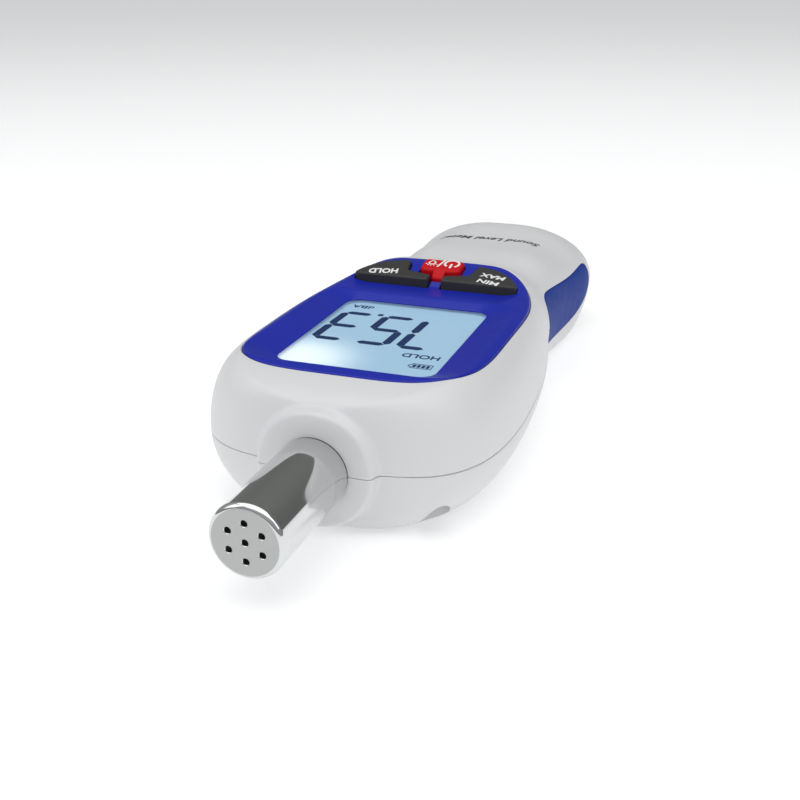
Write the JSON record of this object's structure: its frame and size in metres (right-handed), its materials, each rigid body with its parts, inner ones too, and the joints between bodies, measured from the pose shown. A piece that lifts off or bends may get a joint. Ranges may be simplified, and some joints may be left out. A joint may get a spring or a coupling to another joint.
{
  "type": "sound level meter",
  "caption": "Handheld sound level meter with a chrome microphone tube, a framed backlit display, soft keys, side grips and a sliding battery door.",
  "frame": {"origin": "middle of the whole meter's underside, on the surface that it rests on", "axes": "+Y from the microphone to the handle's end, +Z out of the display, +X completes a right-handed frame"},
  "size_m": [0.0566, 0.1654, 0.0298],
  "materials": {
    "case_white": "fine satin",
    "bezel_blue": "satin",
    "window_clear": "polished",
    "lcd": "polished",
    "diffuser_white": "matte",
    "led": "clear",
    "frame_ivory": "matte",
    "black_rubber": "matte",
    "pcb_green": "solder mask",
    "steel": "zinc plated",
    "chip_black": "moulded",
    "capacitor": "sleeved",
    "key_dark": "matte",
    "key_red": "satin",
    "chrome": "polished",
    "screen_cloth": "woven",
    "aluminium": "satin",
    "black_plastic": "moulded",
    "wire_orange": "satin",
    "wire_red": "satin",
    "grip_blue": "soft",
    "cell_wrap": "shrunk sleeve"
  },
  "bodies": {
    "case": {"front_shell": "case_white", "rear_shell": "case_white", "bezel": "bezel_blue", "lcd_window": "window_clear", "lcd_glass": "lcd", "backlight_diffuser": "diffuser_white", "backlight_leds": "led", "lcd_frame": "frame_ivory", "zebra_strip": "black_rubber", "main_pcb": "pcb_green", "pcb_screws": "steel", "mcu_chip": "chip_black", "amplifier_chips": "chip_black", "capacitors": "capacitor", "crystal": "steel", "resistors": "chip_black", "switch_bodies": "steel", "mic_tube": "chrome", "dust_screen": "screen_cloth", "mic_capsule": "aluminium", "capsule_sleeve": "black_rubber", "mic_holder": "black_plastic", "mic_wires": "wire_orange", "grip_left": "grip_blue", "grip_right": "grip_blue", "battery_holder": "black_plastic", "batteries": "cell_wrap", "battery_springs": "steel", "battery_contacts": "steel", "battery_wires": "wire_red", "case_screws": "steel"},
    "power_key": {"key_power": "key_red", "plunger_power": "black_plastic"},
    "hold_key": {"key_hold": "key_dark", "plunger_hold": "black_plastic"},
    "min_max_key": {"key_min_max": "key_dark", "plunger_min_max": "black_plastic"},
    "door": {"battery_door": "case_white"}
  },
  "joints": [
    {"name": "power_press", "type": "slide", "parent": "case", "child": "power_key", "axis": [0, 0, -1], "range_m": [0, 0.0006], "stiffness_N_per_m": 1500},
    {"name": "hold_press", "type": "slide", "parent": "case", "child": "hold_key", "axis": [0, 0, -1], "range_m": [0, 0.0006], "stiffness_N_per_m": 1500},
    {"name": "min_max_press", "type": "slide", "parent": "case", "child": "min_max_key", "axis": [0, 0, -1], "range_m": [0, 0.0006], "stiffness_N_per_m": 1500},
    {"name": "door_slide", "type": "slide", "parent": "case", "child": "door", "axis": [0, 1, 0], "range_m": [0, 0.05]}
  ]
}
